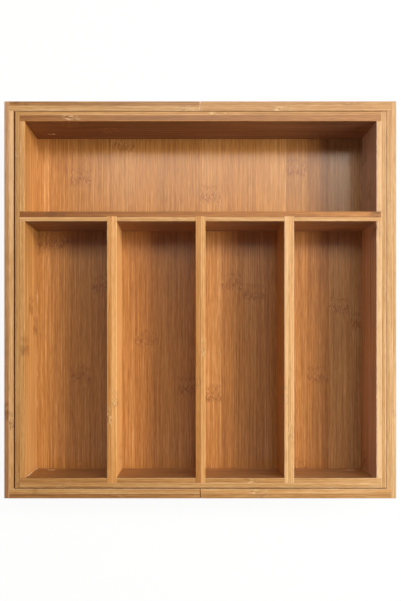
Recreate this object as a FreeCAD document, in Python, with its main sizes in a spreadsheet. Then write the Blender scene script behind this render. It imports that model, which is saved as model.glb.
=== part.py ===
import FreeCAD, Part
import os
import sys

import Sketcher
from FreeCAD import Placement, Rotation, Vector

# Expanding bamboo cutlery tray, pushed closed, in millimetres.
# A five-bay centre tray sits between two U-shaped wings that pull out to the left and to the right.
# +X is the tray's right, +Y its back and +Z up. The origin is on the drawer floor, under the middle.

DRIVING_DIMENSIONS = (
    ("wall_thickness", 10.0, "every wall, rail and divider board, glued up from two layers"),
    ("tray_height", 64.0, "drawer floor to the top edge of every wall"),
    ("center_width", 378.8, "centre tray over its side walls"),
    ("center_depth", 384.0, "centre tray over its front and back walls"),
    ("rear_bay_depth", 92.0, "clear depth of the wide bay at the back"),
    ("divider_pitch", 90.5, "middle to middle of the dividers between the long bays"),
    ("housing_depth", 5.0, "rabbets and dados that take a board's end"),
    ("center_floor_thickness", 5.0, "floor panel of the centre tray"),
    ("wing_floor_thickness", 4.0, "floor panel of a wing"),
    ("floor_rabbet_depth", 5.0, "reach of a wing's floor under its rails and side wall"),
    ("groove_rib", 3.0, "wood left between a wing's floor and the slide groove"),
    ("groove_depth", 5.0, "slide groove in a rail's inner face"),
    ("slide_clearance", 0.3, "above and below the tongue in its groove"),
    ("tongue_reach", 4.7, "how far a tongue stands out from the centre tray's wall"),
    ("tongue_length", 70.0, "length of each tongue, which sets how far a wing pulls out"),
    ("front_play", 0.8, "centre tray to the wings' front rails"),
    ("back_play", 0.4, "centre tray to the wings' back rails"),
    ("left_play", 0.9, "centre tray to the left wing's side wall"),
    ("right_play", 0.3, "centre tray to the right wing's side wall"),
    ("seam_gap", 0.8, "between the two wings' rails when closed"),
    ("pin_diameter", 3.0, "bamboo stop pin in a rail"),
    ("pin_inset", 12.0, "stop pin's axis from the rail's end at the seam"),
    ("pin_seat", 4.0, "how far a stop pin enters the rail above the groove"),
    ("pin_chamfer", 0.5, "lead on a stop pin's upper end"),
    ("edge_round", 0.5, "sanded arris on every edge that a hand meets"),
)

DIVIDER_LABELS = ("divider_left", "divider_middle", "divider_right")

# Places in the tray's frame, as expressions on the sheet.
HALF_WIDTH = "(Dims.wall_thickness + (Dims.left_play + Dims.center_width + Dims.right_play) / 2)"
HALF_DEPTH = "(Dims.wall_thickness + (Dims.front_play + Dims.center_depth + Dims.back_play) / 2)"
RAIL_INNER_Y = f"({HALF_DEPTH} - Dims.wall_thickness)"
SIDE_WALL_INNER_X = f"({HALF_WIDTH} - Dims.wall_thickness)"
CENTER_LEFT_X = f"(-{SIDE_WALL_INNER_X} + Dims.left_play)"
CENTER_RIGHT_X = f"({SIDE_WALL_INNER_X} - Dims.right_play)"
CENTER_MIDDLE_X = f"(({CENTER_LEFT_X} + {CENTER_RIGHT_X}) / 2)"
CENTER_FRONT_Y = f"(-{RAIL_INNER_Y} + Dims.front_play)"
CENTER_BACK_Y = f"({RAIL_INNER_Y} - Dims.back_play)"
CROSS_FRONT_Y = f"({CENTER_BACK_Y} - 2 * Dims.wall_thickness - Dims.rear_bay_depth)"
GROOVE_BOTTOM_Z = "(Dims.wing_floor_thickness + Dims.groove_rib)"
GROOVE_HEIGHT = "(Dims.center_floor_thickness + 2 * Dims.slide_clearance)"
CENTER_FLOOR_Z = f"({GROOVE_BOTTOM_Z} + Dims.slide_clearance)"
CENTER_WALL_Z = f"({CENTER_FLOOR_Z} + Dims.center_floor_thickness)"

# Sizes that several pieces share.
CENTER_WALL_HEIGHT = f"(Dims.tray_height - {CENTER_WALL_Z})"
HOUSED_LENGTH = "(Dims.center_width - 2 * (Dims.wall_thickness - Dims.housing_depth))"
LONG_BAY_DEPTH = "(Dims.center_depth - 3 * Dims.wall_thickness - Dims.rear_bay_depth)"
RAIL_LENGTH = f"({SIDE_WALL_INNER_X} + Dims.housing_depth - Dims.seam_gap / 2)"
WING_FLOOR_LENGTH = f"({SIDE_WALL_INNER_X} + Dims.floor_rabbet_depth - Dims.seam_gap / 2)"
WING_FLOOR_WIDTH = f"(2 * ({RAIL_INNER_Y} + Dims.floor_rabbet_depth))"
PIN_LENGTH = f"({GROOVE_BOTTOM_Z} + {GROOVE_HEIGHT} + Dims.pin_seat)"
PIN_FROM_FACE = "(Dims.groove_depth / 2)"
PIN_SPACING = f"(2 * ({RAIL_INNER_Y} + {PIN_FROM_FACE}))"

doc = FreeCAD.newDocument("cutlery_tray")
sub_parts = []


def fill_sheet():
    sheet = doc.addObject("Spreadsheet::Sheet", "Dims")
    for row, (alias, value, note) in enumerate(DRIVING_DIMENSIONS, start=1):
        sheet.set(f"A{row}", note)
        sheet.set(f"B{row}", str(value))
        sheet.setAlias(f"B{row}", alias)
    doc.recompute()


def bind(item, **sizes):
    """Ties each named property of an item to an expression on the sheet."""
    for name, expression in sizes.items():
        item.setExpression(name.replace("__", "."), expression)


def place(item, x="0", y="0", z="0", turn=0):
    """Turns a piece about +Z, in degrees, and puts its own origin at x, y, z."""
    item.Placement = Placement(Vector(), Rotation(Vector(0, 0, 1), turn))
    bind(item, Placement__Base__x=x, Placement__Base__y=y, Placement__Base__z=z)


def new_body(label):
    body = doc.addObject("PartDesign::Body", label)
    body.Label = label
    sub_parts.append(body)
    return body


def origin_feature(body, role):
    return next(feature for feature in body.Origin.OriginFeatures if feature.Role == role)


def new_sketch(body, name, role="XY_Plane"):
    sketch = body.newObject("Sketcher::SketchObject", name)
    sketch.AttachmentSupport = (origin_feature(body, role), [""])
    sketch.MapMode = "FlatFace"
    return sketch


def add_outline(sketch, corners):
    """Draws a closed outline of level and upright lines through corners given as pairs of expressions."""
    values = [tuple(float(sketch.evalExpression(text)) for text in corner) for corner in corners]
    points = [Vector(across, up, 0) for across, up in values]
    first = sketch.GeometryCount
    for index, start in enumerate(points):
        sketch.addGeometry(Part.LineSegment(start, points[(index + 1) % len(points)]))
    for index in range(len(points)):
        following = (index + 1) % len(points)
        line, next_line = first + index, first + following
        sketch.addConstraint(Sketcher.Constraint("Coincident", line, 2, next_line, 1))
        for axis, constraint in enumerate(("DistanceX", "DistanceY")):
            value = values[index][axis]
            if value == 0:
                on_axis = -2 if axis == 0 else -1
                sketch.addConstraint(Sketcher.Constraint("PointOnObject", line, 1, on_axis))
            else:
                number = sketch.addConstraint(Sketcher.Constraint(constraint, -1, 1, line, 1, value))
                sketch.setExpression(f"Constraints[{number}]", corners[index][axis])


def add_rectangle(sketch, left, bottom, width, height):
    right = f"{left} + {width}"
    top = f"{bottom} + {height}"
    add_outline(sketch, ((left, bottom), (right, bottom), (right, top), (left, top)))


def add_circle(sketch, across, up, diameter):
    values = [float(sketch.evalExpression(text)) for text in (across, up, diameter)]
    circle = Part.Circle(Vector(values[0], values[1], 0), Vector(0, 0, 1), values[2] / 2)
    sketch.addGeometry(circle)
    for constraint, value, text in zip(("DistanceX", "DistanceY"), values, (across, up)):
        number = sketch.addConstraint(Sketcher.Constraint(constraint, -1, 1, 0, 3, value))
        sketch.setExpression(f"Constraints[{number}]", text)
    number = sketch.addConstraint(Sketcher.Constraint("Diameter", 0, values[2]))
    sketch.setExpression(f"Constraints[{number}]", diameter)


def pad(body, sketch, length):
    feature = body.newObject("PartDesign::Pad", "Pad")
    feature.Profile = sketch
    bind(feature, Length=length)
    doc.recompute()
    return feature


def pocket_up(body, sketch, depth=None):
    """Cuts a sketch on the body's base plane upwards, right through unless a depth is given."""
    before = body.Shape.Volume
    feature = body.newObject("PartDesign::Pocket", "Pocket")
    feature.Profile = sketch
    feature.Reversed = True
    if depth is None:
        feature.Type = "ThroughAll"
    else:
        bind(feature, Length=depth)
    doc.recompute()
    if not body.Shape.Volume < before:
        sys.exit(f"{body.Label}: {sketch.Name} cut nothing")
    return feature


def repeat(body, feature, axis_role, spread, count):
    pattern = body.newObject("PartDesign::LinearPattern", "LinearPattern")
    pattern.Originals = [feature]
    pattern.Direction = (origin_feature(body, axis_role), [""])
    pattern.Occurrences = count
    bind(pattern, Length=spread)
    body.Tip = pattern
    doc.recompute()


def ease_edges(body, feature, wanted):
    """Rounds the edges of a feature that a test on their bounding boxes picks."""
    box = feature.Shape.BoundBox
    names = [
        f"Edge{number}"
        for number, edge in enumerate(feature.Shape.Edges, start=1)
        if wanted(edge.BoundBox, box)
    ]
    rounding = body.newObject("PartDesign::Fillet", "Fillet")
    rounding.Base = (feature, names)
    bind(rounding, Radius="Dims.edge_round")
    doc.recompute()


def same(first, second):
    return abs(first - second) < 1e-6


def is_long_top_edge(edge, board):
    return same(edge.ZMin, board.ZMax) and same(edge.XLength, board.XLength)


def is_rail_edge(edge, board):
    """Arrises of a rail: along its top and its outer foot, and round its free end at the seam."""
    along_top = is_long_top_edge(edge, board)
    at_outer_face = same(edge.YMin, board.YMax)
    along_foot = at_outer_face and same(edge.ZMax, board.ZMin)
    at_seam = same(edge.XMax, board.XMin) and (same(edge.ZMin, board.ZMax) or at_outer_face)
    return along_top or along_foot or at_seam


def is_side_wall_edge(edge, board):
    """Arrises of a wing's side wall: round its top, and round its outer face."""
    return same(edge.ZMin, board.ZMax) or same(edge.YMin, board.YMax)


def wall_board(label, length):
    """Board of the centre tray that stands on its floor. Its own face at y = 0 takes the housings."""
    body = new_body(label)
    sketch = new_sketch(body, "board_outline")
    add_rectangle(sketch, "0", "0", length, "Dims.wall_thickness")
    board = pad(body, sketch, CENTER_WALL_HEIGHT)
    ease_edges(body, board, is_long_top_edge)
    return body


def cut_housings(body, start, count=1, spread=None):
    """Cuts full-height housings, each one board wide, into the face at y = 0."""
    sketch = new_sketch(body, "housing")
    add_rectangle(sketch, start, "0", "Dims.wall_thickness", "Dims.housing_depth")
    housing = pocket_up(body, sketch)
    if count > 1:
        repeat(body, housing, "X_Axis", spread, count)


def cut_divider_housings(body):
    """Cuts the housings for the dividers into a board that is centred on the centre tray."""
    spread = f"(Dims.divider_pitch * {len(DIVIDER_LABELS) - 1})"
    start = f"({HOUSED_LENGTH} / 2 - {spread} / 2 - Dims.wall_thickness / 2)"
    cut_housings(body, start, len(DIVIDER_LABELS), spread)


def mirrored(source, label, normal, plane_x="0"):
    """The other hand of a piece, across an upright plane at x = plane_x, or across the plane y = 0."""
    piece = doc.addObject("Part::Mirroring", label)
    piece.Label = label
    piece.Source = source
    piece.Normal = normal
    bind(piece, Base__x=plane_x)
    sub_parts.append(piece)
    return piece


# Floor of the centre tray, with a tongue at each corner that runs in a rail's groove.
def make_center_floor():
    body = new_body("center_floor")
    panel = new_sketch(body, "panel_outline")
    add_rectangle(panel, "0", "Dims.tongue_reach", "Dims.center_width", "Dims.center_depth")
    pad(body, panel, "Dims.center_floor_thickness")
    tongues = new_sketch(body, "tongue_outline")
    across = "(Dims.center_depth + 2 * Dims.tongue_reach)"
    add_rectangle(tongues, "0", "0", "Dims.tongue_length", across)
    tongue_pair = pad(body, tongues, "Dims.center_floor_thickness")
    repeat(body, tongue_pair, "X_Axis", "(Dims.center_width - Dims.tongue_length)", 2)
    place(body, CENTER_LEFT_X, f"({CENTER_FRONT_Y} - Dims.tongue_reach)", CENTER_FLOOR_Z)


# Four walls of the centre tray. The side walls are rabbeted for the ends of the front and back walls.
def make_center_walls():
    housed_left_x = f"({CENTER_MIDDLE_X} - {HOUSED_LENGTH} / 2)"
    housed_right_x = f"({CENTER_MIDDLE_X} + {HOUSED_LENGTH} / 2)"

    back = wall_board("center_back_wall", HOUSED_LENGTH)
    place(back, housed_left_x, f"({CENTER_BACK_Y} - Dims.wall_thickness)", CENTER_WALL_Z)

    front = wall_board("center_front_wall", HOUSED_LENGTH)
    cut_divider_housings(front)
    place(front, housed_right_x, f"({CENTER_FRONT_Y} + Dims.wall_thickness)", CENTER_WALL_Z, turn=180)

    right = wall_board("center_right_wall", "Dims.center_depth")
    cut_housings(right, "0", 2, "(Dims.center_depth - Dims.wall_thickness)")
    cut_housings(right, "(Dims.wall_thickness + Dims.rear_bay_depth)")
    place(right, f"({CENTER_RIGHT_X} - Dims.wall_thickness)", CENTER_BACK_Y, CENTER_WALL_Z, turn=-90)
    mirrored(right, "center_left_wall", Vector(1, 0, 0), CENTER_MIDDLE_X)


# Cross divider behind the long bays, and the dividers between them.
def make_dividers():
    cross = wall_board("cross_divider", HOUSED_LENGTH)
    cut_divider_housings(cross)
    place(cross, f"({CENTER_MIDDLE_X} - {HOUSED_LENGTH} / 2)", CROSS_FRONT_Y, CENTER_WALL_Z)

    length = f"({LONG_BAY_DEPTH} + 2 * Dims.housing_depth)"
    for index, label in enumerate(DIVIDER_LABELS):
        steps = index - (len(DIVIDER_LABELS) - 1) / 2
        divider = wall_board(label, length)
        left_face = f"({CENTER_MIDDLE_X} + Dims.divider_pitch * {steps} - Dims.wall_thickness / 2)"
        place(divider, left_face, f"({CROSS_FRONT_Y} + Dims.housing_depth)", CENTER_WALL_Z, turn=-90)


# Rail of the right wing's back, milled along its length with the floor rabbet and the slide groove.
def make_back_rail():
    body = new_body("right_wing_back_rail")
    profile = new_sketch(body, "rail_profile", "YZ_Plane")
    groove_top = f"({GROOVE_BOTTOM_Z} + {GROOVE_HEIGHT})"
    add_outline(
        profile,
        (
            ("Dims.floor_rabbet_depth", "0"),
            ("Dims.wall_thickness", "0"),
            ("Dims.wall_thickness", "Dims.tray_height"),
            ("0", "Dims.tray_height"),
            ("0", groove_top),
            ("Dims.groove_depth", groove_top),
            ("Dims.groove_depth", GROOVE_BOTTOM_Z),
            ("0", GROOVE_BOTTOM_Z),
            ("0", "Dims.wing_floor_thickness"),
            ("Dims.floor_rabbet_depth", "Dims.wing_floor_thickness"),
        ),
    )
    rail = pad(body, profile, RAIL_LENGTH)
    ease_edges(body, rail, is_rail_edge)
    pin_hole = new_sketch(body, "pin_hole")
    add_circle(pin_hole, "Dims.pin_inset", PIN_FROM_FACE, "Dims.pin_diameter")
    pocket_up(body, pin_hole, PIN_LENGTH)
    place(body, "(Dims.seam_gap / 2)", RAIL_INNER_Y)
    return body


# Side wall of the right wing, rabbeted below for the floor and at both ends for the rails.
def make_side_wall():
    body = new_body("right_wing_side_wall")
    profile = new_sketch(body, "side_wall_profile", "YZ_Plane")
    add_outline(
        profile,
        (
            ("Dims.floor_rabbet_depth", "0"),
            ("Dims.wall_thickness", "0"),
            ("Dims.wall_thickness", "Dims.tray_height"),
            ("0", "Dims.tray_height"),
            ("0", "Dims.wing_floor_thickness"),
            ("Dims.floor_rabbet_depth", "Dims.wing_floor_thickness"),
        ),
    )
    wall = pad(body, profile, f"(2 * {HALF_DEPTH})")
    ease_edges(body, wall, is_side_wall_edge)
    cut_housings(body, "0", 2, f"(2 * {HALF_DEPTH} - Dims.wall_thickness)")
    place(body, SIDE_WALL_INNER_X, HALF_DEPTH, turn=-90)
    return body


# Floor of the right wing, flush with the rails' feet and drilled for the two stop pins.
def make_wing_floor():
    body = new_body("right_wing_floor")
    panel = new_sketch(body, "panel_outline")
    add_rectangle(panel, "0", "0", WING_FLOOR_LENGTH, WING_FLOOR_WIDTH)
    pad(body, panel, "Dims.wing_floor_thickness")
    pin_hole = new_sketch(body, "pin_hole")
    first_pin = f"(({WING_FLOOR_WIDTH} - {PIN_SPACING}) / 2)"
    add_circle(pin_hole, "Dims.pin_inset", first_pin, "Dims.pin_diameter")
    hole = pocket_up(body, pin_hole)
    repeat(body, hole, "Y_Axis", PIN_SPACING, 2)
    place(body, "(Dims.seam_gap / 2)", f"(-{WING_FLOOR_WIDTH} / 2)")
    return body


# Stop pin of the right wing's back rail. It stands across the groove and meets the end of the tongue.
def make_stop_pin():
    body = new_body("right_back_stop_pin")
    round_section = new_sketch(body, "pin_section")
    radius = "(Dims.pin_diameter / 2)"
    add_circle(round_section, radius, radius, "Dims.pin_diameter")
    shank = pad(body, round_section, PIN_LENGTH)
    top = [
        f"Edge{number}"
        for number, edge in enumerate(shank.Shape.Edges, start=1)
        if same(edge.BoundBox.ZMin, shank.Shape.BoundBox.ZMax)
    ]
    lead = body.newObject("PartDesign::Chamfer", "Chamfer")
    lead.Base = (shank, top)
    bind(lead, Size="Dims.pin_chamfer")
    pin_x = f"(Dims.seam_gap / 2 + Dims.pin_inset - {radius})"
    place(body, pin_x, f"({RAIL_INNER_Y} + {PIN_FROM_FACE} - {radius})")
    doc.recompute()
    return body


# The right wing is modelled, its front pieces mirror its back ones, and the left wing mirrors it whole.
def make_wings():
    to_left, to_front = Vector(1, 0, 0), Vector(0, 1, 0)
    back_rail = make_back_rail()
    front_rail = mirrored(back_rail, "right_wing_front_rail", to_front)
    side_wall = make_side_wall()
    floor = make_wing_floor()
    back_pin = make_stop_pin()
    front_pin = mirrored(back_pin, "right_front_stop_pin", to_front)
    for piece in (back_rail, front_rail, side_wall, floor, back_pin, front_pin):
        mirrored(piece, piece.Label.replace("right", "left"), to_left)


def check_and_write():
    doc.recompute()
    failed = [item.Label for item in doc.Objects if {"Invalid", "Error"} & set(item.State)]
    if failed:
        sys.exit(f"these objects failed to build: {failed}")
    for piece in sub_parts:
        if piece.Shape.isNull() or not piece.Shape.isValid() or len(piece.Shape.Solids) != 1:
            sys.exit(f"{piece.Label} is not one valid solid")
    os.makedirs("parts", exist_ok=True)
    for piece in sub_parts:
        piece.Shape.exportStep(f"parts/{piece.Label}.step")
        box = piece.Shape.BoundBox
        print(
            f"{piece.Label:24s} x {box.XMin:8.2f} {box.XMax:8.2f}  y {box.YMin:8.2f} {box.YMax:8.2f}"
            f"  z {box.ZMin:6.2f} {box.ZMax:6.2f}  {piece.Shape.Volume / 1000:8.2f} cm3"
        )


fill_sheet()
make_center_floor()
make_center_walls()
make_dividers()
make_wings()
check_and_write()
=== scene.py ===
import math
import random
from itertools import product

import bmesh
import bpy
from mathutils import Matrix, Vector


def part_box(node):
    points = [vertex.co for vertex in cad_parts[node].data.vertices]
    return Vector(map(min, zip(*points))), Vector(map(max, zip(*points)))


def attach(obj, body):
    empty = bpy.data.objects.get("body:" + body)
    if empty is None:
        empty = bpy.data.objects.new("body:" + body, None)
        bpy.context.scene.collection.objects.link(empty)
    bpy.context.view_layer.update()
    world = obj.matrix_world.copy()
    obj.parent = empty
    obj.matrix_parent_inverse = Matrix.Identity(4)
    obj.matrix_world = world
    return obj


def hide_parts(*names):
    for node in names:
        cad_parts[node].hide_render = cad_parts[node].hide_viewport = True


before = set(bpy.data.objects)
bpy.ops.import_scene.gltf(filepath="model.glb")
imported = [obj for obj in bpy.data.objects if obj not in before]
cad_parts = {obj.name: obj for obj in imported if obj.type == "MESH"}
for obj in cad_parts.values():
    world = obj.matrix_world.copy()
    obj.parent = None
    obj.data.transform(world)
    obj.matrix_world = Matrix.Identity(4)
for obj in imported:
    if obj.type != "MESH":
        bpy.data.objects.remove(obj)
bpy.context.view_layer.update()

mm = 0.001
touch = 0.001 * mm      # places closer than this are one


# Node trees. A Wire is a socket that Python arithmetic works on, and a Bench is the tree it is in.
class Wire:
    def __init__(self, bench, socket):
        self.bench = bench
        self.socket = socket

    def __add__(self, other):
        return self.bench.maths("ADD", self, other)

    def __sub__(self, other):
        return self.bench.maths("SUBTRACT", self, other)

    def __rsub__(self, other):
        return self.bench.maths("SUBTRACT", other, self)

    def __mul__(self, other):
        return self.bench.maths("MULTIPLY", self, other)

    def __truediv__(self, other):
        return self.bench.maths("DIVIDE", self, other)

    def __rtruediv__(self, other):
        return self.bench.maths("DIVIDE", other, self)

    def __gt__(self, other):
        return self.bench.maths("GREATER_THAN", self, other)

    def __lt__(self, other):
        return self.bench.maths("LESS_THAN", self, other)

    def __abs__(self):
        return self.bench.maths("ABSOLUTE", self)

    __radd__ = __add__
    __rmul__ = __mul__


class Bench:
    def __init__(self, tree):
        self.tree = tree
        tree.nodes.clear()

    # Any node: its type, the values or links of its sockets, the outputs wanted and its settings.
    def node(self, kind, sockets=None, out=0, **settings):
        made = self.tree.nodes.new(kind)
        for name, value in settings.items():
            if name == "stops":
                self.setStops(made.color_ramp, value)
            else:
                setattr(made, name, value)
        for name, value in (sockets or {}).items():
            for link in value if isinstance(value, list) else [value]:
                self.feed(made.inputs[name], link)
        if isinstance(out, tuple):
            return [Wire(self, made.outputs[name]) for name in out]
        return Wire(self, made.outputs[out]) if made.outputs else made

    def feed(self, socket, value):
        if isinstance(value, Wire):
            self.tree.links.new(value.socket, socket)
        else:
            socket.default_value = value

    def setStops(self, ramp, stops):
        for extra in range(len(stops) - len(ramp.elements)):
            ramp.elements.new(0.5)
        for element, (place, colour) in zip(ramp.elements, stops):
            element.position = place
            element.color = (*colour, 1)

    def maths(self, operation, *values):
        return self.node("ShaderNodeMath", dict(enumerate(values)), operation=operation)

    def vector(self, x=0.0, y=0.0, z=0.0):
        return self.node("ShaderNodeCombineXYZ", {"X": x, "Y": y, "Z": z})

    def split(self, vector):
        return self.node("ShaderNodeSeparateXYZ", {"Vector": vector}, out=("X", "Y", "Z"))

    def mixColour(self, factor, first, second, blend="MIX"):
        return self.node(
            "ShaderNodeMix",
            {0: factor, 6: first, 7: second},
            out=2,
            data_type="RGBA",
            blend_type=blend,
        )

    # Eased step from 0 to 1 while the value goes from start to end.
    def rise(self, value, start, end):
        sockets = {"Value": value, "From Min": start, "From Max": end}
        return self.node("ShaderNodeMapRange", sockets, interpolation_type="SMOOTHSTEP")


def newMaterial(name):
    material = bpy.data.materials.new(name)
    material.use_nodes = True
    return material, Bench(material.node_tree)


# Lacquered bamboo, in metres. Each strip brings its own look in three attributes. stripLook is its tone
# (-1 toasted to 1 pale, and on some boards darker as painted shade), warmth (below -1 a painted bluish
# shade) and seed. stripRun is the place of a culm node along its grain, the lean of its tone (its own
# drift, and on some boards painted light and shade along them), and the mark of its nodes, above 0 pale and
# below 0 dark. stripPitch is the way to the next one.
bambooLook = {
    "shades": (
        (0.0, (0.235, 0.080, 0.015)),
        (0.35, (0.39, 0.157, 0.035)),
        (0.6, (0.52, 0.238, 0.064)),
        (1.0, (0.78, 0.435, 0.178)),
    ),
    "toneShare": 0.26,      # how far tone moves the shade
    "leanSpan": 0.2,        # over which a strip's lean adds up to one tone
    "warmTint": (1.03, 0.92, 0.75),
    "coolTint": (0.97, 1.14, 1.50),
    # next: a painted bluish shade for faces that stand in shadow
    "paintedShadeTint": (1.0, 1.02, 1.75),      # on top of it, below a warmth of -1
    "bundleHue": 0.8,       # how far fibre bundles move the warmth
    "bundleSize": (0.15, 0.0036),       # fibre bundles: length, width
    "fibreSize": (0.17, 0.0011),
    "hairSize": (0.04, 0.0007),
    "fleckSize": (0.012, 0.0010),
    "bundleShare": 0.28,    # of each in the shade
    "fibreShare": 0.9,
    "hairShare": 0.5,
    "fleckShare": 0.22,
    "contrast": 1.1,        # of all four
    "driftLength": 0.16,
    "driftShare": 0.3,
    "swayReach": 0.02,      # fibres bend this far from a node
    "sway": 0.003,
    "swayWaves": (110, 240),    # in a metre along and across the grain
    "culmBand": 0.0055,
    "culmWave": 0.015,
    "culmWaves": 160,       # in a metre across the grain
    "nodeEnds": (0.2, 1.5),     # where a node starts to fade and is gone, in bands from its middle
    "scarEnds": (0.1, 0.9),
    "scarGap": 0.0105,      # from the node to the scar of its sheath
    "scarShare": 0.6,
    "strokeSize": (0.0075, 0.0009),     # strokes of a culm node
    "strokeSlant": 0.22,
    "strokeDark": (0.24, 0.072, 0.016),
    "strokePale": (0.66, 0.36, 0.13),
    "darkEnds": (0.03, 0.14),   # noise where a stroke starts and is full
    "paleEnds": (0.05, 0.16),
    "darkShare": 0.55,
    "paleShare": 0.25,
    "bandShare": 0.10,      # of the dark in the whole band
    "bandMarkShare": 0.4,   # and more of it with a dark mark
    "roughness": 0.44,
    "hairScuff": 0.12,
    "fibreScuff": 0.10,
    "specular": 0.2,
    "coat": 0.35,
    "coatWear": 0.4,        # less coat along the fibres
    "coatRoughness": 0.27,
    "bundleRelief": 0.3,
    "fibreRelief": 0.5,
    "hairRelief": 0.4,
    "bandRelief": 0.2,
    "strokeSink": 0.6,
    "reliefDepth": 0.00006,
    "reliefStrength": 0.5,
}
floorChanges = {      # flat strips, lacquered more thickly
    "fibreShare": 0.66,
    "hairShare": 0.6,
    "fleckShare": 0.5,
    "contrast": 0.95,
    "darkShare": 0.85,
    "coat": 0.5,
    "coatRoughness": 0.18,
}
topChanges = {      # sanded edges of the boards: calmer grain, and nodes that only streak it
    "fibreShare": 0.52,
    "hairShare": 0.42,
    "fleckShare": 0.42,
    "sway": 0.0012,
    "culmWave": 0.0075,
    "strokeSize": (0.007, 0.0016),
    "strokeSlant": 0.12,
    "strokeDark": (0.15, 0.05, 0.011),
    "strokePale": (0.85, 0.58, 0.30),
    "darkShare": 0.2,
    "paleShare": 0.15,
}
noiseKind = {"Scale": 1.0, "Detail": 1, "Roughness": 0.55}
noiseShifts = {      # in seeds, so that strips and layers differ
    "bundle": 31,
    "fibre": 57,
    "hair": 83,
    "fleck": 47,
    "drift": 91,
    "sway": 71,
    "wave": 63,
    "leftStroke": 63,
    "rightStroke": 37,
    "across": 7,      # times the layer's own shift
}


def bambooFinish(name, grain, changes=None, culms=True):
    look = {**bambooLook, **(changes or {})}
    material, bench = newMaterial(name)
    x, y, z = bench.split(bench.node("ShaderNodeTexCoord", out="Object"))
    along, across, deep = {"X": (x, z, y), "Y": (y, x, z), "Z": (z, x, y)}[grain]
    strip = bench.node("ShaderNodeAttribute", out="Vector", attribute_name="stripLook")
    tone, warmth, seed = bench.split(strip)
    run = bench.node("ShaderNodeAttribute", out="Vector", attribute_name="stripRun")
    culmAt, lean, nodeMark = bench.split(run)
    pitch = bench.node("ShaderNodeAttribute", out="Fac", attribute_name="stripPitch")

    def noise(*place):
        return bench.node("ShaderNodeTexNoise", {"Vector": bench.vector(*place), **noiseKind}) - 0.5

    # Fibres run straight along the grain, and sway where the culm had a node.
    turn = bench.maths("FLOORED_MODULO", along - culmAt + pitch / 2, pitch) - pitch / 2
    aside = 0.0
    if culms:
        nearNode = 1 - bench.rise(abs(turn) / look["swayReach"], 0, 1)
        wavesAlong, wavesAcross = look["swayWaves"]
        swayNoise = noise(
            along * wavesAlong + seed * noiseShifts["sway"],
            across * wavesAcross,
            deep * wavesAcross,
        )
        aside = swayNoise * nearNode * look["sway"]

    # Noise drawn out along the grain, shifted from strip to strip.
    def fibres(size, layer, slant=0.0):
        length, width = look[size]
        shift = noiseShifts[layer]
        shear = aside + turn * slant
        return noise(
            along / length + seed * shift,
            (across + shear) / width + seed * (shift * noiseShifts["across"]),
            (deep + shear) / width,
        )

    bundle = fibres("bundleSize", "bundle")
    fibre = fibres("fibreSize", "fibre")
    hair = fibres("hairSize", "hair")
    fleck = fibres("fleckSize", "fleck")
    drift = noise(along / look["driftLength"], seed * noiseShifts["drift"])

    grainShade = bundle * look["bundleShare"] + fibre * look["fibreShare"]
    grainShade = (grainShade + hair * look["hairShare"] + fleck * look["fleckShare"]) * look["contrast"]
    ownTone = tone + lean * (along / look["leanSpan"])
    shade = 0.5 + ownTone * look["toneShare"] + drift * look["driftShare"] + grainShade
    colour = bench.node("ShaderNodeValToRGB", {"Fac": shade}, stops=look["shades"])
    hue = warmth + bundle * look["bundleHue"]
    colour = bench.mixColour(bench.rise(hue, 0, 1), colour, (*look["warmTint"], 1), "MULTIPLY")
    colour = bench.mixColour(bench.rise(0 - hue, 0, 1), colour, (*look["coolTint"], 1), "MULTIPLY")
    # Below a warmth of -1: a painted bluish shade.
    colour = bench.mixColour(bench.rise(0 - hue, 1, 2), colour, (*look["paintedShadeTint"], 1), "MULTIPLY")
    scuff = hair * look["hairScuff"] + fibre * look["fibreScuff"]
    relief = bundle * look["bundleRelief"] + fibre * look["fibreRelief"] + hair * look["hairRelief"]
    coat = look["coat"] - abs(fibre) * look["coatWear"]

    if culms:
        # Culm nodes: a wavy band of short slanted strokes, dark and pale, and a fainter scar beside it.
        leftStroke = fibres("strokeSize", "leftStroke", look["strokeSlant"])
        rightStroke = fibres("strokeSize", "rightStroke", -look["strokeSlant"])
        waves = look["culmWaves"]
        wave = noise(across * waves + seed * noiseShifts["wave"], deep * waves, seed)
        height = turn - wave * look["culmWave"]
        node = 1 - bench.rise(abs(height) / look["culmBand"], *look["nodeEnds"])
        scar = 1 - bench.rise(abs(height - look["scarGap"]) / look["culmBand"], *look["scarEnds"])
        band = bench.maths("MAXIMUM", node, scar * look["scarShare"])
        dark = band * bench.rise(bench.maths("MAXIMUM", leftStroke, rightStroke), *look["darkEnds"])
        pale = band * bench.rise(0 - bench.maths("MINIMUM", leftStroke, rightStroke), *look["paleEnds"])
        darkMark = bench.maths("MAXIMUM", 0 - nodeMark, 0)
        bandInk = band * (look["bandShare"] + darkMark * look["bandMarkShare"])
        paleInk = pale * bench.maths("MAXIMUM", nodeMark + look["paleShare"], 0)
        darkInk = dark * (darkMark + look["darkShare"])
        colour = bench.mixColour(bandInk, colour, (*look["strokeDark"], 1))
        colour = bench.mixColour(paleInk, colour, (*look["strokePale"], 1))
        colour = bench.mixColour(darkInk, colour, (*look["strokeDark"], 1))
        relief = relief - dark * look["strokeSink"] + band * look["bandRelief"]

    sockets = {"Height": relief, "Distance": look["reliefDepth"], "Strength": look["reliefStrength"]}
    bump = bench.node("ShaderNodeBump", sockets)
    shader = bench.node(
        "ShaderNodeBsdfPrincipled",
        {
            "Base Color": colour,
            "Roughness": look["roughness"] + scuff,
            "Coat Weight": coat,
            "Coat Roughness": look["coatRoughness"],
            "Specular IOR Level": look["specular"],
            "Normal": bump,
        },
    )
    bench.node("ShaderNodeOutputMaterial", {"Surface": shader})
    return material


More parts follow.
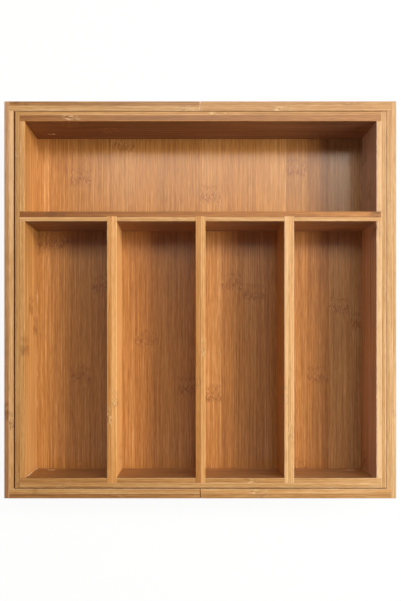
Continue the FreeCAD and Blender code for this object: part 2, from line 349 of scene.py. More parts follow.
bambooFloor = bambooFinish("bamboo_floor", "Y", floorChanges)
bambooAlongX = bambooFinish("bamboo_grain_x", "X")
bambooAlongY = bambooFinish("bamboo_grain_y", "Y")
bambooTopX = bambooFinish("bamboo_top_x", "X", topChanges)
bambooTopY = bambooFinish("bamboo_top_y", "Y", topChanges)
bambooPeg = bambooFinish("bamboo_peg", "Z", culms=False)
print("finishes: bamboo floors, boards along x and along y with their tops, pegs")


nodePitch = 330      # millimetres from one culm node of a strip to the next


# Looks of the strips. The strip number of each face is on the mesh, and draws the look from a list.
def paintStrips(mesh, looks):
    strips = [item.value for item in mesh.attributes["strip"].data]
    mesh.attributes.remove(mesh.attributes["strip"])
    mesh.attributes.new("stripLook", "FLOAT_VECTOR", "FACE")
    mesh.attributes.new("stripRun", "FLOAT_VECTOR", "FACE")
    mesh.attributes.new("stripPitch", "FLOAT", "FACE")
    for face, strip in enumerate(strips):
        mesh.attributes["stripLook"].data[face].vector = looks[strip][:3]
        mesh.attributes["stripRun"].data[face].vector = looks[strip][3:6]
        mesh.attributes["stripPitch"].data[face].value = looks[strip][6]


def stripLook(draw, tone, spread, warmth, culm, lean=0.0, nodeMark=0.0, pitch=nodePitch):
    ownTone = tone + draw.uniform(-spread, spread)
    return ownTone, warmth, draw.random(), culm * mm, lean, nodeMark, pitch * mm


def addPiece(name, mesh, body, slot, *nodes):
    piece = bpy.data.objects.new(name, mesh)
    bpy.context.scene.collection.objects.link(piece)
    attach(piece, body)
    if nodes:
        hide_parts(*nodes)


# Floors: flat strips glued edge to edge, as one Geometry Nodes tree. The outer strips may run on as
# tongues, and the panel may be drilled for two pegs.
floorSizes = {
    "Joint Width": 0.15 * mm,     # half of the eased glue line
    "Joint Depth": 0.06 * mm,
}
drillShape = {"sides": 24, "reach": 3}      # the reach in thicknesses of the panel


def floorTree():
    tree = bpy.data.node_groups.new("glued_floor", "GeometryNodeTree")
    bench = Bench(tree)
    tree.interface.new_socket("Floor", in_out="OUTPUT", socket_type="NodeSocketGeometry")
    kinds = {
        "NodeSocketInt": ("Strip Count", "Tongue Strips"),
        "NodeSocketFloat": (
            "Width", "Length", "Thickness", "Tongue Width", "Tongue Reach",
            "Joint Width", "Joint Depth", "Hole Inset", "Hole Spacing", "Hole Radius",
        ),
        "NodeSocketBool": ("Drilled",),
        "NodeSocketMaterial": ("Finish",),
    }
    for kind, names in kinds.items():
        for name in names:
            tree.interface.new_socket(name, in_out="INPUT", socket_type=kind)
    group = tree.nodes.new("NodeGroupInput")
    size = {socket.name: Wire(bench, socket) for socket in group.outputs if socket.name}
    count, tongues = size["Strip Count"], size["Tongue Strips"]
    width, length, thick = size["Width"], size["Length"], size["Thickness"]

    # A grid with three columns for each strip, so that every glue line has an eased edge, and three rows,
    # so that the outer ones can be the tongues.
    perStrip = rows = 3
    columns = count * perStrip
    grid = bench.node(
        "GeometryNodeMeshGrid",
        {"Size X": width, "Size Y": length, "Vertices X": columns + 1, "Vertices Y": rows + 1},
    )
    x, y, z = bench.split(bench.node("GeometryNodeInputPosition"))
    stripNumber = bench.maths("FLOOR", (x / width + 0.5) * count)
    grid = bench.node(
        "GeometryNodeStoreNamedAttribute",
        {"Geometry": grid, "Name": "strip", "Value": stripNumber},
        data_type="INT",
        domain="FACE",
    )
    column = bench.maths("ROUND", (x / width + 0.5) * columns)
    roundingRoom = 0.01
    strip = bench.maths("FLOOR", column / perStrip + roundingRoom)
    step = column - strip * perStrip

    # Strips in the tongues have their own width, and the rest share what is between them.
    middleCount = count - tongues * 2
    middleWidth = (width - size["Tongue Width"] * 2) / middleCount
    tongueWidth = size["Tongue Width"] / bench.maths("MAXIMUM", tongues, 1)

    def stripStart(number):
        before = bench.maths("MINIMUM", number, tongues)
        between = bench.maths("MINIMUM", bench.maths("MAXIMUM", number - tongues, 0), middleCount)
        after = bench.maths("MAXIMUM", number - tongues - middleCount, 0)
        return (before + after) * tongueWidth + between * middleWidth

    start = stripStart(strip)
    ease = size["Joint Width"]
    intoStrip = (abs(step - 1) < 0.5) * ease + (step > 1.5) * (stripStart(strip + 1) - start - ease)
    row = bench.maths("ROUND", (y / length + 0.5) * rows) - rows / 2
    outerRow = abs(row) > 1
    newY = bench.maths("SIGN", row) * (length / 2 + outerRow * size["Tongue Reach"])
    isJoint = (step < 0.5) * (strip > 0.5) * (strip < count - 0.5)
    grid = bench.node(
        "GeometryNodeStoreNamedAttribute",
        {"Geometry": grid, "Name": "joint", "Value": isJoint},
        data_type="FLOAT",
        domain="POINT",
    )
    newPlace = bench.vector(start + intoStrip, newY, 0.0)
    grid = bench.node("GeometryNodeSetPosition", {"Geometry": grid, "Position": newPlace})
    ownStrip = bench.node("GeometryNodeInputNamedAttribute", {"Name": "strip"}, data_type="INT")
    offTongue = (ownStrip > tongues - 0.5) * (ownStrip < count - tongues - 0.5)
    pastEnd = abs(y) > length / 2 - 10 * touch
    grid = bench.node(
        "GeometryNodeDeleteGeometry",
        {"Geometry": grid, "Selection": offTongue * pastEnd},
        domain="FACE",
    )
    raised = bench.node(
        "GeometryNodeExtrudeMesh",
        {"Mesh": grid, "Offset": bench.vector(0.0, 0.0, thick), "Individual": False},
        mode="FACES",
    )
    under = bench.node("GeometryNodeFlipFaces", {"Mesh": grid})
    panel = bench.node("GeometryNodeJoinGeometry", {"Geometry": [raised, under]})
    panel = bench.node("GeometryNodeMergeByDistance", {"Geometry": panel, "Distance": touch})
    joint = bench.node("GeometryNodeInputNamedAttribute", {"Name": "joint"}, data_type="FLOAT")
    inward = joint * size["Joint Depth"] * (1 - (z > thick / 2) * 2)
    sunk = bench.vector(0.0, 0.0, inward)
    panel = bench.node("GeometryNodeSetPosition", {"Geometry": panel, "Offset": sunk})
    panel = bench.node("GeometryNodeRemoveAttribute", {"Geometry": panel, "Name": "joint"})

    # Two peg holes near the open end.
    spots = bench.node(
        "GeometryNodeMeshLine",
        {
            "Count": 2,
            "Start Location": bench.vector(size["Hole Inset"], size["Hole Spacing"] * -0.5, thick / 2),
            "Offset": bench.vector(0.0, size["Hole Spacing"], 0.0),
        },
    )
    drill = bench.node(
        "GeometryNodeMeshCylinder",
        {
            "Vertices": drillShape["sides"],
            "Radius": size["Hole Radius"],
            "Depth": thick * drillShape["reach"],
        },
    )
    drills = bench.node("GeometryNodeInstanceOnPoints", {"Points": spots, "Instance": drill})
    drills = bench.node("GeometryNodeRealizeInstances", {"Geometry": drills})
    bored = bench.node(
        "GeometryNodeMeshBoolean",
        {"Mesh 1": panel, "Mesh 2": drills},
        operation="DIFFERENCE",
        solver="EXACT",
    )
    panel = bench.node(
        "GeometryNodeSwitch",
        {"Switch": size["Drilled"], "False": panel, "True": bored},
        input_type="GEOMETRY",
    )
    panel = bench.node("GeometryNodeRealizeInstances", {"Geometry": panel})
    panel = bench.node("GeometryNodeSetMaterial", {"Geometry": panel, "Material": size["Finish"]})
    tree.links.new(panel.socket, tree.nodes.new("NodeGroupOutput").inputs[0])
    return tree


# Runs a tree with these inputs, over these paths if any, and gives back a plain mesh.
def meshFromTree(tree, name, values, points=(), edges=()):
    seedMesh = bpy.data.meshes.new(name)
    seedMesh.from_pydata(points, edges, [])
    carrier = bpy.data.objects.new(name, seedMesh)
    bpy.context.scene.collection.objects.link(carrier)
    modifier = carrier.modifiers.new("layout", "NODES")
    modifier.node_group = tree
    for item in tree.interface.items_tree:
        if item.in_out == "INPUT" and item.name in values:
            modifier[item.identifier] = values[item.name]
    graph = bpy.context.evaluated_depsgraph_get()
    mesh = bpy.data.meshes.new_from_object(carrier.evaluated_get(graph))
    mesh.name = name
    bpy.data.objects.remove(carrier)
    return mesh


# The centre floor's strips from left to right: tone, warmth, and in millimetres the place of a culm node
# and the way to the next. The two strips along the right wall are cooler as a painted bluish shade, the
# last one below a warmth of -1.
centerStrips = (
    (0.1, 0, 65, 330), (-0.3, 0, 68, 330), (-0.35, 0, 137, 218), (-0.3, 0.1, 19, 330),
    (0, 0, 174, 400), (-0.25, 0.3, -42, 330), (-0.3, 0.1, 86, 330), (-0.1, 0.15, -94, 330),
    (0.1, 0.1, 118, 221), (-0.25, 0.25, 20, 330), (-0.2, 0, 9, 330), (0, 0, 86, 330),
    (-0.3, 0, 145, 330), (-0.65, 0.1, -82, 330), (-0.1, -0.5, -6, 330), (-0.2, -1.3, -22, 330),
)
centerFloor = {"Tongue Strips": 3, "Tongue Width": 70 * mm, "Tongue Reach": 4.7 * mm, "seed": 11}
wingFloor = {
    "strips": 8,
    "tone": 0.1,
    "spread": 0.3,
    "nodeReach": 215,      # millimetres over which the culm nodes are scattered
    "pegPlay": 0.05 * mm,
    "seeds": {"left": 23, "right": 29},
}
gluedFloor = floorTree()


# A panel in place of a node, with what the tree needs besides its outer sizes.
def makeFloor(node, body, looks, inputs):
    low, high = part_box(node)
    values = {
        **floorSizes,
        **inputs,
        "Strip Count": len(looks),
        "Width": high.x - low.x,
        "Length": high.y - low.y - 2 * inputs["Tongue Reach"],
        "Thickness": high.z - low.z,
        "Finish": bambooFloor,
    }
    name = f"{node}_strips"
    mesh = meshFromTree(gluedFloor, name, values)
    mesh.transform(Matrix.Translation((low.x, (low.y + high.y) / 2, low.z)))
    paintStrips(mesh, looks)
    addPiece(name, mesh, body, "floor_panels", node)


def makeCenterFloor():
    draw = random.Random(centerFloor["seed"])
    looks = []
    for tone, warmth, culm, pitch in centerStrips:
        looks.append(stripLook(draw, tone, 0, warmth, culm, pitch=pitch))
    makeFloor("center_floor", "center_tray", looks, centerFloor)


def makeWingFloor(side):
    node = f"{side}_wing_floor"
    pinLow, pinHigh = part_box(f"{side}_back_stop_pin")
    inputs = {
        "Tongue Reach": 0.0,
        "Drilled": True,
        "Hole Inset": (pinLow.x + pinHigh.x) / 2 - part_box(node)[0].x,
        "Hole Spacing": pinLow.y + pinHigh.y,
        "Hole Radius": (pinHigh.x - pinLow.x) / 2 + wingFloor["pegPlay"],
    }
    draw = random.Random(wingFloor["seeds"][side])
    looks = []
    for strip in range(wingFloor["strips"]):
        culm = draw.randrange(wingFloor["nodeReach"])
        looks.append(stripLook(draw, wingFloor["tone"], wingFloor["spread"], 0, culm))
    makeFloor(node, f"{side}_wing", looks, inputs)


makeCenterFloor()
makeWingFloor("left")
makeWingFloor("right")
print("floors: glued strips on", gluedFloor.name)


# Boards: two plies of three strips, glued flat. The shell is laid out as cells between cut lines, and a
# cell is left out where another board is let in.
boardSizes = {
    "stripsUp": 3,
    "jointWidth": 0.15 * mm,
    "jointDepth": 0.06 * mm,
    "arris": 0.5 * mm,
    "arrisSteps": 3,
    "sharpAngle": 1.0,            # radians, so that an eased glue line is left alone
    "grooveRoom": 0.3 * mm,       # above and below the floor's tongues
    "seamGap": 0.1 * mm,          # left between the rails of the closed wings
    "topDepth": 1 * mm,           # the top's looks reach this far down its rounded edges
    "flatShare": 0.985,           # of a flat face's normal along its axis
    "seamShare": 0.1,             # of a rounded face's normal along x, at the seam
}
dividers = ("divider_left", "divider_middle", "divider_right")
crossBoards = ("center_back_wall", "cross_divider", "center_front_wall")
letIn = {
    "center_left_wall": crossBoards,
    "center_right_wall": crossBoards,
    "cross_divider": dividers,
    "center_front_wall": dividers,
}
for side in ("left", "right"):
    rails = (f"{side}_wing_back_rail", f"{side}_wing_front_rail")
    letIn[f"{side}_wing_side_wall"] = (*rails, f"{side}_wing_floor")
    for rail in rails:
        letIn[rail] = (f"{side}_wing_floor",)

# Each board: the share of its thickness that the front or left ply takes, and then both plies. A ply has
# the tone, warmth and lean of its top edge, the same of its face, the place of a culm node along the grain
# in millimetres and the mark of its culm nodes, above 0 pale and below 0 dark. Besides each ply's own tone,
# the
# tones carry painted shade: faces that stand in shadow are darker, below a warmth of -1 bluer as well, and
# the faces beside the wide gap on the left are painted dark. The leans carry painted light and shade along
# a board.
boardLooks = {
    "center_back_wall": (
        0.63, ((-1.15, -0.25, 0.27), (-1.27, -2, 0.95), -136, 0.5),
        ((0.16, -0.5, -0.14), (0, 0, 0), 14, 0.5),
    ),
    "center_front_wall": (
        0.47, ((0.2, -1, 0.5), (-0.6, -0.5, 0), -142, 0),
        ((-0.06, -0.7, 0.74), (-0.87, -1.3, 0.5), 50, 0.3),
    ),
    "center_left_wall": (
        0.5, ((-0.14, -0.8, 0.3), (-2.2, 0.7, 0), 145, 0),
        ((0.35, -0.45, 0.35), (0.36, 0.1, -0.3), -50, -0.4),
    ),
    "center_right_wall": (
        0.53, ((1.4, -0.9, -0.49), (1.08, -1.55, 0.15), -260, 0),
        ((0.43, -0.75, -0.32), (0, -0.2, 0), 7, 0),
    ),
    "cross_divider": (
        0.4, ((0.65, -0.55, 0), (-0.59, -1.6, 0.92), -25, 0.2),
        ((-0.96, 0.5, 0.92), (0, 0.2, 0), -152, -0.7),
    ),
    "divider_left": (
        0.5, ((0.52, 0.4, 0.4), (0, 0.4, 0), -122, 0.5),
        ((1.35, 0.55, 0.64), (1.67, 0.5, 0.3), -105, 0.6),
    ),
    "divider_middle": (
        0.57, ((-0.02, 0, 0.63), (0, 0.2, 0), -85, 0),
        ((0.78, 0.2, -0.55), (0.2, 0.3, 0), -55, 0.4),
    ),
    "divider_right": (
        0.37, ((1.49, -0.45, 0.14), (0.3, 0, 0), -102, 0.3),
        ((1.18, -0.35, -0.05), (0, 0, 0), -140, 0.6),
    ),
    "left_wing_back_rail": (
        0.55, ((0.57, -0.8, 0), (-0.5, -0.1, 0), -19, 0.5),
        ((-0.97, -0.9, 0), (0, -0.2, 0), -188, -0.3),
    ),
    "left_wing_front_rail": (
        0.47, ((-0.55, -1, 1.25), (0, -0.5, 0), -85, 0),
        ((0.13, -1, 0.2), (-0.8, -0.5, 0), -170, 0),
    ),
    "left_wing_side_wall": (
        0.45, ((-0.42, -1.36, 0.72), (0, -0.5, 0), -118, -0.5),
        ((1.05, -0.65, 0.35), (-2.2, 0.7, 0), -128, -0.25),
    ),
    "right_wing_back_rail": (
        0.55, ((0.13, -0.75, 0), (-0.5, -0.1, 0), 80, 0.5),
        ((0.05, -0.75, -0.2), (0, 0, 0), 150, 0),
    ),
    "right_wing_front_rail": (
        0.47, ((-0.15, -1, 0), (0, -0.5, 0), 62, 0),
        ((0.47, -0.6, 0), (-0.8, -0.4, 0), 55, 0.3),
    ),
    "right_wing_side_wall": (
        0.45, ((0.36, -1, -0.37), (0, -0.4, 0), -230, 0),
        ((0.69, -1, -0.49), (0, -0.5, 0), -115, 0.2),
    ),
}
# Rounded edges: paler than their ply, partly from sanding and partly as a painted highlight. The listed
# edges
# have painted shade or light of their own: dark along the wide gap on the left, pale along the narrow gap
# on the right, and darker on the centre's left wall's inner edge and the right wing's outer edge.
sandedEdgeAndHighlight = {"tone": 0.5, "warmth": -0.4}
paintedEdgeShading = {      # node and ply: tone and warmth
    ("center_left_wall", 0): (-2.0, 0.9),
    ("center_left_wall", 1): (0.1, -0.3),
    ("left_wing_side_wall", 1): (-2.0, 0.9),
    ("center_right_wall", 1): (1.9, -0.7),
    ("right_wing_side_wall", 0): (1.9, -0.7),
    ("right_wing_side_wall", 1): (-0.3, -1.2),
}
# Rounded edges at the seam between the wing rails: a painted highlight at the back, a painted shadow at the
# front.
paintedSeamShading = {"back": (2.2, -1.2), "front": (-2.0, 0.0)}      # tone and warmth
faceLook = {
    "spread": 0.15,         # of the tone from strip to strip
    "nodeScatter": 90,      # millimetres that a strip's culm node may lie from that of its ply
    "seed": 100,
}


def cutLines(low, high, places):
    inside = [place for place in places if low + touch < place < high - touch]
    lines = []
    for place in sorted([low, high, *inside]):
        if not lines or place - lines[-1] > touch:
            lines.append(place)
    return lines


# Closed shell of the cells that are filled, with the strip number of each face.
def cellShell(lines, isFilled, stripOf):
    shell = bmesh.new()
    stripLayer = shell.faces.layers.int.new("strip")
    corners = {}
    sizes = [len(each) - 1 for each in lines]

    def corner(index):
        if index not in corners:
            corners[index] = shell.verts.new([lines[axis][index[axis]] for axis in range(3)])
        return corners[index]

    def middle(cell):
        return [(lines[axis][cell[axis]] + lines[axis][cell[axis] + 1]) / 2 for axis in range(3)]

    def filled(cell):
        inside = all(0 <= cell[axis] < sizes[axis] for axis in range(3))
        return inside and isFilled(middle(cell))

    def addSide(cell, axis, step):
        second, third = (axis + 1) % 3, (axis + 2) % 3
        loop = []
        for a, b in ((0, 0), (1, 0), (1, 1), (0, 1)):
            index = list(cell)
            index[axis] += step
            index[second] += a
            index[third] += b
            loop.append(corner(tuple(index)))
        face = shell.faces.new(loop if step else loop[::-1])
        face[stripLayer] = stripOf(middle(cell))

    for cell in product(*(range(size) for size in sizes)):
        if not filled(cell):
            continue
        for axis, step in product(range(3), (0, 1)):
            beside = list(cell)
            beside[axis] += 2 * step - 1
            if not filled(beside):
                addSide(cell, axis, step)
    return shell


# One board: its box, the axes of its grain and its thickness, its plies, and gaps for what is let in.
class Board:
    def __init__(self, node):
        low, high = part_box(node)
        grain = 0 if high.x - low.x > high.y - low.y else 1
        thick = 1 - grain
        share, *plies = boardLooks[node]
        stripHeight = (high.z - low.z) / boardSizes["stripsUp"]
        self.node = node
        self.low, self.high = low, high
        self.grain, self.thick = grain, thick
        self.plies = plies
        self.stripHeight = stripHeight
        self.wing = node.split("_wing")[0] if "_wing" in node else None
        self.isRail = node.endswith("_rail")
        self.middle = (low[thick] + high[thick]) / 2
        self.plyJoint = low[thick] + share * (high[thick] - low[thick])
        self.joints = [low.z + stripHeight * count for count in range(1, boardSizes["stripsUp"])]
        self.gaps = [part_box(mate) for mate in letIn.get(node, ())]
        if self.isRail:
            self.fitRail()

    # A rail butts against the other wing's rail, and has a groove for the centre floor's tongues.
    def fitRail(self):
        if self.wing == "right":
            self.low.x = boardSizes["seamGap"] / 2
            self.gaps[0][0].x = self.low.x
        else:
            self.high.x = -boardSizes["seamGap"] / 2
            self.gaps[0][1].x = self.high.x
        floorLow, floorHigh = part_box("center_floor")
        grooveLow, grooveHigh = self.low.copy(), self.high.copy()
        grooveLow.z = floorLow.z - boardSizes["grooveRoom"]
        grooveHigh.z = floorHigh.z + boardSizes["grooveRoom"]
        if self.middle > 0:
            grooveHigh.y = self.middle
        else:
            grooveLow.y = self.middle
        self.gaps.append((grooveLow, grooveHigh))

    # Where the shell is cut along each axis: at the gaps, and at and beside the glue lines.
    def lines(self):
        ease = boardSizes["jointWidth"]
        places = [[], [], []]
        for gapLow, gapHigh in self.gaps:
            for axis in range(3):
                places[axis] += [gapLow[axis], gapHigh[axis]]
        places[self.thick] += [self.plyJoint - ease, self.plyJoint, self.plyJoint + ease]
        for joint in self.joints:
            places[2] += [joint - ease, joint, joint + ease]
        return [cutLines(self.low[axis], self.high[axis], places[axis]) for axis in range(3)]

    def isFilled(self, point):
        for gapLow, gapHigh in self.gaps:
            if all(gapLow[axis] < point[axis] < gapHigh[axis] for axis in range(3)):
                return False
        return True

    def stripOf(self, point):
        up = min(int((point[2] - self.low.z) / self.stripHeight), boardSizes["stripsUp"] - 1)
        return up + boardSizes["stripsUp"] * (point[self.thick] > self.plyJoint)

    # Glue lines are eased: between the plies on top, and between the strips on both faces.
    def easeJoints(self, shell):
        thick = self.thick
        depth = boardSizes["jointDepth"]

        def at(value, place):
            return abs(value - place) < touch

        for vert in shell.verts:
            if at(vert.co.z, self.high.z) and at(vert.co[thick], self.plyJoint):
                vert.co.z -= depth
            for face, inward in ((self.low[thick], 1), (self.high[thick], -1)):
                if at(vert.co[thick], face) and any(at(vert.co.z, joint) for joint in self.joints):
                    vert.co[thick] += inward * depth

    # Edges to round: the long top ones on every board, and the outer ones on the wings.
    def isArris(self, edge):
        first, second = (vert.co for vert in edge.verts)
        low, high = self.low, self.high
        grain, thick = self.grain, self.thick
        near = 2 * boardSizes["jointDepth"]

        def both(axis, place):
            return abs(first[axis] - place) < near and abs(second[axis] - place) < near

        onTop = both(2, high.z)
        onFace = both(thick, low[thick]) or both(thick, high[thick])
        lengthwise = abs(first[grain] - second[grain]) > touch
        if onTop and onFace and lengthwise:
            return True
        if not self.wing:
            return False
        onOuter = both(thick, high[thick] if self.middle > 0 else low[thick])
        onFoot = both(2, low.z)
        if self.isRail:
            onSeam = both(0, low.x if self.wing == "right" else high.x)
            return (onOuter and onFoot and lengthwise) or (onSeam and (onTop or onOuter))
        onEnd = both(grain, low[grain]) or both(grain, high[grain])
        return (onOuter and (onFoot or onEnd)) or (onTop and onEnd)

    def roundEdges(self, shell):
        def isSharp(edge):
            return len(edge.link_faces) == 2 and edge.calc_face_angle() > boardSizes["sharpAngle"]

        shell.normal_update()
        bmesh.ops.bevel(
            shell,
            geom=[edge for edge in shell.edges if self.isArris(edge) and isSharp(edge)],
            offset=boardSizes["arris"],
            offset_type="OFFSET",
            segments=boardSizes["arrisSteps"],
            profile=0.5,      # a quarter circle
            affect="EDGES",
            clamp_overlap=False,
        )

    # The top, its rounded edges and those at the seam have looks of their own, which follow the faces'.
    def markTop(self, shell):
        stripLayer = shell.faces.layers.int["strip"]
        perPly = boardSizes["stripsUp"]
        firstTop = 2 * perPly
        firstEdge = firstTop + 2
        firstSeam = firstEdge + 2
        flat = boardSizes["flatShare"]
        shell.normal_update()
        for face in shell.faces:
            if face.calc_center_median().z <= self.high.z - boardSizes["topDepth"]:
                continue
            ply = int(face[stripLayer] >= perPly)
            if face.normal.z > flat:
                face[stripLayer] = firstTop + ply
                face.material_index = 1
            elif max(abs(part) for part in face.normal) < flat:
                atSeam = self.isRail and abs(face.normal.x) > boardSizes["seamShare"]
                face[stripLayer] = (firstSeam if atSeam else firstEdge) + ply
                face.material_index = 1

    def looks(self, draw):
        perPly = boardSizes["stripsUp"]
        apart = faceLook["nodeScatter"]
        seamEdge = paintedSeamShading["back" if self.middle > 0 else "front"]
        faces, tops, edges, seams = [], [], [], []
        for ply, (top, face, culm, nodeMark) in enumerate(self.plies):
            topTone, topWarmth, topLean = top
            faceTone, faceWarmth, faceLean = face
            for strip in range(perPly):
                scatter = 0 if strip == perPly - 1 else draw.uniform(-apart, apart)
                place = (culm + scatter, faceLean, nodeMark)
                faces.append(stripLook(draw, faceTone, faceLook["spread"], faceWarmth, *place))
            tops.append(stripLook(draw, topTone, 0, topWarmth, culm, topLean, nodeMark))
            # Rounded edges: sanded paler with a painted highlight, unless the edge has painted shade or
            # light of its own.
            sandedAndLit = (topTone + sandedEdgeAndHighlight["tone"], topWarmth + sandedEdgeAndHighlight["warmth"])
            edges.append((*paintedEdgeShading.get((self.node, ply), sandedAndLit), *tops[-1][2:]))
            # Seam edges: a painted highlight at the back and a painted shadow at the front.
            seams.append((*seamEdge, *tops[-1][2:]))
        return faces + tops + edges + seams


def makeBoard(node, number):
    board = Board(node)
    shell = cellShell(board.lines(), board.isFilled, board.stripOf)
    board.easeJoints(shell)
    board.roundEdges(shell)
    board.markTop(shell)
    name = f"{node}_plies"
    mesh = bpy.data.meshes.new(name)
    shell.to_mesh(mesh)
    shell.free()
    for finish in (bambooAlongY, bambooTopY) if board.grain else (bambooAlongX, bambooTopX):
        mesh.materials.append(finish)
    draw = random.Random(faceLook["seed"] + number)
    paintStrips(mesh, board.looks(draw))
    body = f"{board.wing}_wing" if board.wing else "center_tray"
    addPiece(name, mesh, body, "wing_boards" if board.wing else "center_boards", node)


for number, node in enumerate(boardLooks):
    makeBoard(node, number)
for node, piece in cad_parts.items():      # the stop pins keep their own shape
    if node.endswith("_stop_pin"):
        piece.data.materials.clear()
        piece.data.materials.append(bambooPeg)
print("boards:", len(boardLooks), "glued from two plies each")


# Glue that was squeezed out of the joints and dried: beads that swell and thin along their paths.
glueLook = {
    "Bead Radius": 0.55 * mm,
    "Least Share": 0.45,      # thinnest place of a bead, as a share of its radius
    "Lump Length": 16 * mm,
    "Wander": 0.35 * mm,
    "lumpEnds": (0.38, 0.66),      # noise where a bead is thinnest and thickest
    "stepsPerLump": 6,
    "ringSides": 8,
    "colour": (0.62, 0.39, 0.20, 1),
    "paleColour": (0.80, 0.58, 0.37, 1),
    "cloudScale": 260.0,
    "cloudEnds": (0.35, 0.65),
    "roughness": 0.3,
    "cloudRoughness": 0.2,
    "reliefDepth": 0.2 * mm,
    "reliefStrength": 0.4,
}
gluePlaces = {      # in millimetres
    "endGap": 2,      # between a bead along the floor and the next board
    "topGap": 3,      # between a bead in a corner and the top
    "sunk": 0.25,
    "frontLeft": (14, 21, 21),      # smears on a wall: start and end beside its corner, and height
    "frontRight": (20, 11, 21),
    "backLeft": (15, 23, 27),
    "drop": (46, 49, 5),      # on the floor: start and end beside the left wall, and off the front wall
}


def glueFinish():
    material, bench = newMaterial("dried_glue")
    place = bench.node("ShaderNodeTexCoord", out="Object")
    sockets = {"Vector": place, "Scale": glueLook["cloudScale"], "Detail": 2}
    cloud = bench.node("ShaderNodeTexNoise", sockets)
    pale = bench.rise(cloud, *glueLook["cloudEnds"])
    colour = bench.mixColour(pale, glueLook["colour"], glueLook["paleColour"])
    depth, strength = glueLook["reliefDepth"], glueLook["reliefStrength"]
    bump = bench.node("ShaderNodeBump", {"Height": cloud, "Distance": depth, "Strength": strength})
    roughness = glueLook["roughness"] + cloud * glueLook["cloudRoughness"]
    sockets = {"Base Color": colour, "Roughness": roughness, "Normal": bump}
    shader = bench.node("ShaderNodeBsdfPrincipled", sockets)
    bench.node("ShaderNodeOutputMaterial", {"Surface": shader})
    return material


def glueTree():
    tree = bpy.data.node_groups.new("glue_beads", "GeometryNodeTree")
    bench = Bench(tree)
    tree.interface.new_socket("Beads", in_out="OUTPUT", socket_type="NodeSocketGeometry")
    tree.interface.new_socket("Paths", in_out="INPUT", socket_type="NodeSocketGeometry")
    for name in ("Bead Radius", "Least Share", "Lump Length", "Wander"):
        tree.interface.new_socket(name, in_out="INPUT", socket_type="NodeSocketFloat")
    tree.interface.new_socket("Finish", in_out="INPUT", socket_type="NodeSocketMaterial")
    group = tree.nodes.new("NodeGroupInput")
    size = {socket.name: Wire(bench, socket) for socket in group.outputs if socket.name}
    paths = bench.node("GeometryNodeMeshToCurve", {"Mesh": size["Paths"]})
    step = size["Lump Length"] / glueLook["stepsPerLump"]
    paths = bench.node("GeometryNodeResampleCurve", {"Curve": paths, "Length": step}, mode="LENGTH")
    place = bench.node("GeometryNodeInputPosition")
    sockets = {"Vector": place, "Scale": 1 / size["Lump Length"], "Detail": 2.0}
    lump, shake = bench.node("ShaderNodeTexNoise", sockets, out=("Fac", "Color"))
    aside = bench.node("ShaderNodeVectorMath", {0: shake, 1: (0.5, 0.5, 0.5)}, operation="SUBTRACT")
    aside = bench.node("ShaderNodeVectorMath", {0: aside, "Scale": size["Wander"]}, operation="SCALE")
    paths = bench.node("GeometryNodeSetPosition", {"Geometry": paths, "Offset": aside})
    least = size["Least Share"]
    share = least + bench.rise(lump, *glueLook["lumpEnds"]) * (1 - least)
    ring = bench.node(
        "GeometryNodeCurvePrimitiveCircle",
        {"Resolution": glueLook["ringSides"], "Radius": size["Bead Radius"]},
    )
    beads = bench.node(
        "GeometryNodeCurveToMesh",
        {"Curve": paths, "Profile Curve": ring, "Scale": share, "Fill Caps": True},
    )
    beads = bench.node("GeometryNodeRealizeInstances", {"Geometry": beads})
    beads = bench.node("GeometryNodeSetMaterial", {"Geometry": beads, "Material": size["Finish"]})
    tree.links.new(beads.socket, tree.nodes.new("NodeGroupOutput").inputs[0])
    return tree


def makeGlue():
    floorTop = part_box("center_floor")[1].z
    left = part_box("center_left_wall")[1].x
    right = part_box("center_right_wall")[0].x
    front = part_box("center_front_wall")[1].y
    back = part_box("center_back_wall")[0].y
    crossFront, crossBack = (corner.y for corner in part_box("cross_divider"))
    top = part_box("center_left_wall")[1].z - gluePlaces["topGap"] * mm
    sunk = gluePlaces["sunk"] * mm
    endGap = gluePlaces["endGap"] * mm
    footX, footZ = left - sunk, floorTop - sunk
    runs = [
        ((footX, front + endGap, footZ), (footX, crossFront - endGap, footZ)),
        ((footX, crossBack + endGap, footZ), (footX, back - endGap, footZ)),
        ((left, front, floorTop), (left, front, top)),
        ((right, front, floorTop), (right, front, top)),
    ]
    smears = (      # name, x of the corner, way along the wall, y of the wall
        ("frontLeft", left, 1, front),
        ("frontRight", right, -1, front),
        ("backLeft", left, 1, back + sunk),
    )
    for name, corner, way, y in smears:
        start, end, z = (length * mm for length in gluePlaces[name])
        runs.append(((corner + way * start, y, z), (corner + way * end, y, z)))
    start, end, off = (length * mm for length in gluePlaces["drop"])
    runs.append(((left + start, front + off, floorTop), (left + end, front + off, floorTop)))
    points = [point for run in runs for point in run]
    edges = [(2 * run, 2 * run + 1) for run in range(len(runs))]
    values = {**glueLook, "Finish": glueFinish()}
    mesh = meshFromTree(glueTree(), "glue_squeeze_out", values, points, edges)
    mesh.shade_smooth()
    addPiece("glue_squeeze_out", mesh, "center_tray", "center_boards")
    print("glue:", len(runs), "beads")


makeGlue()


# Stage: a pale floor that is white to the camera and still takes the tray's shadow.
stageLook = {
    "size": 8.0,
    "drop": 0.2 * mm,
    "paint": (0.93, 0.93, 0.93, 1),
    "whiteShare": 0.93,
    "shadeEnds": (0.7, 1.6),      # from the middle, where the shade starts to fade and is gone
    "bareHalf": 0.19,             # half of the square under the tray
}


def seenDirectly(bench):
    camera, glossy, through = bench.node(
        "ShaderNodeLightPath", out=("Is Camera Ray", "Is Glossy Ray", "Is Transmission Ray")
    )
    return bench.maths("MINIMUM", camera + glossy + through, 1)


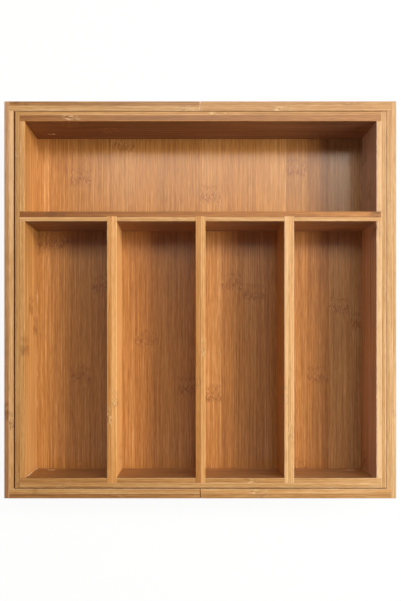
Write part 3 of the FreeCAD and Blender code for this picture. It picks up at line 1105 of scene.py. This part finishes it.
def makeStage():
    material, bench = newMaterial("pale_floor")
    paint = bench.node("ShaderNodeBsdfDiffuse", {"Color": stageLook["paint"]})
    white = bench.node("ShaderNodeEmission", {"Color": (1, 1, 1, 1), "Strength": 1.0})
    x, y, z = bench.split(bench.node("ShaderNodeTexCoord", out="Object"))
    bare = stageLook["bareHalf"]
    under = (abs(x) < bare) * (abs(y) < bare)      # no white where the tray stands
    away = bench.maths("SQRT", x * x + y * y)
    near = 1 - bench.rise(away, *stageLook["shadeEnds"])      # no shade far from the tray
    share = seenDirectly(bench) * (1 - under) * (1 - near * (1 - stageLook["whiteShare"]))
    mix = bench.node("ShaderNodeMixShader", {0: share, 1: paint, 2: white})
    bench.node("ShaderNodeOutputMaterial", {"Surface": mix})
    half = stageLook["size"] / 2
    mesh = bpy.data.meshes.new("pale_floor")
    corners = [(x * half, y * half, -stageLook["drop"]) for x, y in ((-1, -1), (1, -1), (1, 1), (-1, 1))]
    mesh.from_pydata(corners, [], [(0, 1, 2, 3)])
    mesh.materials.append(material)
    floor = bpy.data.objects.new("pale_floor", mesh)
    bpy.context.scene.collection.objects.link(floor)


# Light: a key softbox on the right, a weaker one over the back and a cool fill on the left.
lightLook = {
    "key": {
        "place": (3.5, 0.24, 2.24), "aim": (3.5, 0.23, 0.0), "size": (3.29, 1.68),
        "radiance": 18.4, "colour": (1.0, 0.965, 0.905),
    },
    "overhead": {
        "place": (0.855, 1.385, 3.0), "aim": (0.855, 1.38, 0.0), "size": (2.97, 1.11),
        "radiance": 5.8, "colour": (1.0, 0.96, 0.885),
    },
    "fill": {
        "place": (-2.8, 0.3, 1.0), "aim": (0.0, 0.0, 0.0), "size": (1.6, 1.2),
        "radiance": 1.0, "colour": (0.92, 0.96, 1.0),
    },
}


def softbox(name, place, aim, size, radiance, colour):
    lamp = bpy.data.lights.new(name, "AREA")
    lamp.shape = "RECTANGLE"
    lamp.size, lamp.size_y = size
    lamp.energy = radiance * math.pi * size[0] * size[1]
    lamp.color = colour
    light = bpy.data.objects.new(name, lamp)
    light.location = place
    light.rotation_euler = (Vector(place) - Vector(aim)).to_track_quat("Z", "Y").to_euler()
    bpy.context.scene.collection.objects.link(light)


# Room: a dim glow. Seen directly, it has white walls and a ceiling that darkens to the back.
roomLook = {
    "glow": 0.05,
    "ceilingUp": (0.25, 0.6),      # where the ceiling starts and is full
    "ceilingBack": (-0.3, -0.05),
    "ceilingShade": 0.55,
}


def makeRoom():
    world = bpy.data.worlds.new("studio_room")
    world.use_nodes = True
    bench = Bench(world.node_tree)
    x, y, z = bench.split(bench.node("ShaderNodeTexCoord", out="Generated"))
    ceiling = bench.rise(z, *roomLook["ceilingUp"]) * bench.rise(y, *roomLook["ceilingBack"])
    backdrop = seenDirectly(bench) * (1 - ceiling * roomLook["ceilingShade"])
    glow = roomLook["glow"]
    strength = glow + backdrop * (1 - glow)
    shader = bench.node("ShaderNodeBackground", {"Color": (1, 1, 1, 1), "Strength": strength})
    bench.node("ShaderNodeOutputWorld", {"Surface": shader})
    bpy.context.scene.world = world


# Camera straight above, a little in front of the tray's middle and to its left.
cameraLook = {"place": (-0.012, -0.054, 0.686), "lens": 36.53, "shift": (0.0200, 0.0870)}


def makeCamera():
    data = bpy.data.cameras.new("camera")
    data.lens = cameraLook["lens"]
    data.shift_x, data.shift_y = cameraLook["shift"]
    camera = bpy.data.objects.new("camera", data)
    camera.location = cameraLook["place"]
    bpy.context.scene.collection.objects.link(camera)
    bpy.context.scene.camera = camera


makeStage()
for name in ("key", "overhead", "fill"):
    softbox(f"{name}_softbox", **lightLook[name])
makeRoom()
makeCamera()
bpy.context.scene.view_settings.view_transform = "Standard"
print("stage, lights and camera set")
